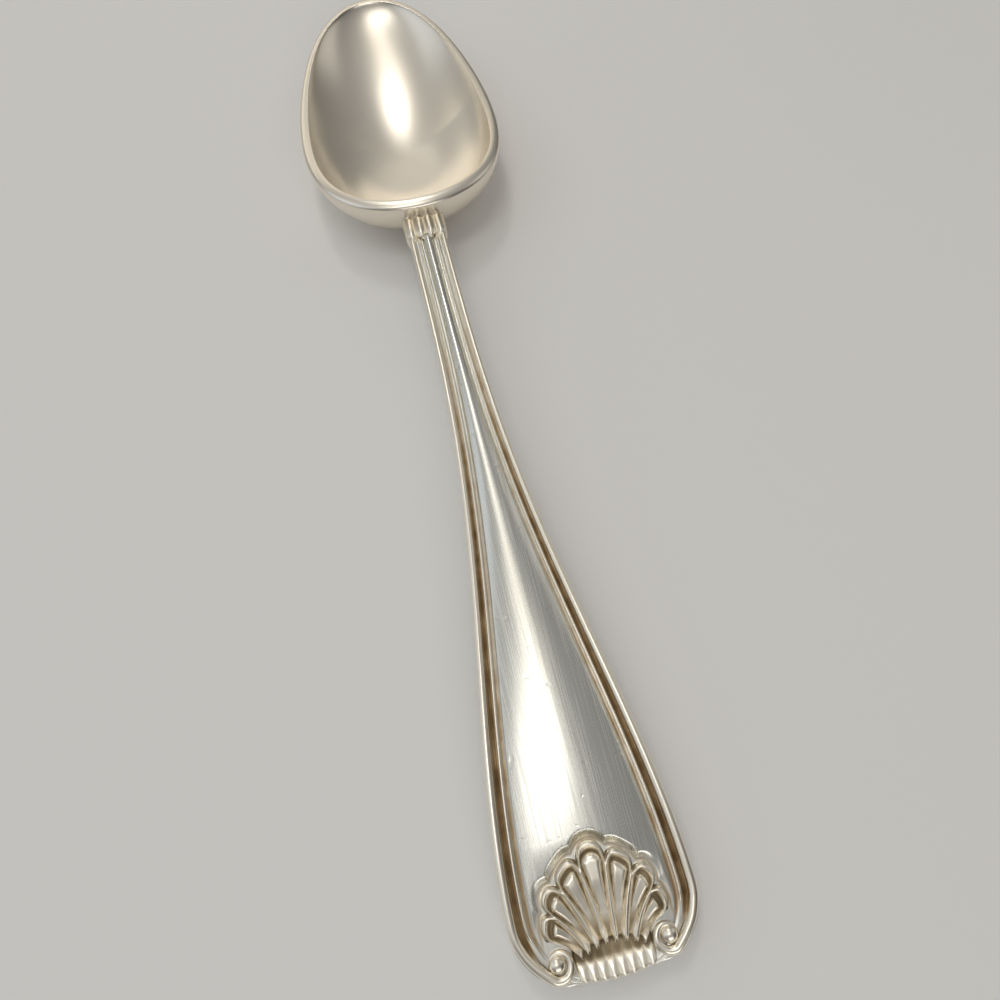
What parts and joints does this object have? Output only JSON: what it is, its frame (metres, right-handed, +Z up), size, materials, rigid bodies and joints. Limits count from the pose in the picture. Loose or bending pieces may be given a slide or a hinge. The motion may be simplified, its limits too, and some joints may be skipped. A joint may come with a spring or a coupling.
{
  "type": "teaspoon",
  "caption": "Teaspoon with an egg-shaped bowl, a lobed collar and a flared handle with a threaded border and a scallop shell at its end.",
  "frame": {"origin": "on the table, under the middle of the spoon's length and width", "axes": "+Y from the handle's end to the bowl's tip, +Z up out of the bowl, X across"},
  "size_m": [0.0292, 0.1404, 0.0096],
  "materials": {
    "polished_silver": "polished silver plate with fine wear scratches",
    "struck_silver": "polished silver plate with brown tarnish in the hollows"
  },
  "bodies": {
    "root": {"bowl": "polished_silver", "heel_collar": "struck_silver", "handle_blank": "polished_silver", "border_wire_left": "struck_silver", "border_wire_right": "struck_silver", "inner_thread_left": "struck_silver", "inner_thread_right": "struck_silver", "scallop_shell": "struck_silver", "ribbed_foot": "struck_silver"}
  },
  "joints": []
}
